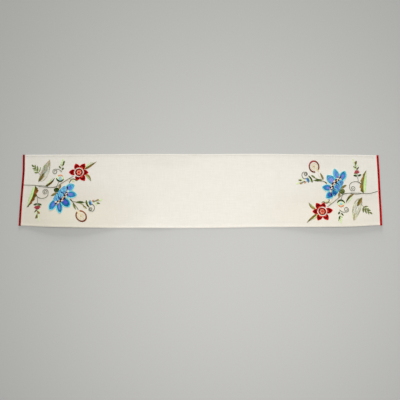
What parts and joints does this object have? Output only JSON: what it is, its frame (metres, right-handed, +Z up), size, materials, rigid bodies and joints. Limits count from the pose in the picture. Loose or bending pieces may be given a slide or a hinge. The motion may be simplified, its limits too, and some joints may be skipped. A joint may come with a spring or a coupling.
{
  "type": "embroidered table runner",
  "caption": "Long linen table runner lying flat, with narrow side hems, red bindings round its short ends and a crewel flower spray at each end.",
  "frame": {"origin": "on the table under the middle of the runner's footprint", "axes": "+X along the runner towards its right end, +Y across it towards the far side, +Z up from the table"},
  "size_m": [1.8022, 0.3802, 0.0159],
  "materials": {
    "linen": "natural-white slubby plain-weave linen, matt",
    "red_tape": "dark red ribbed woven tape, matt",
    "crewel_yarn": "two-ply wool crewel yarn in many colours, soft sheen",
    "sewing_thread": "fine cotton sewing thread"
  },
  "bodies": {
    "root": {"linen_panel": "linen", "binding_left": "red_tape", "binding_right": "red_tape"}
  },
  "joints": []
}
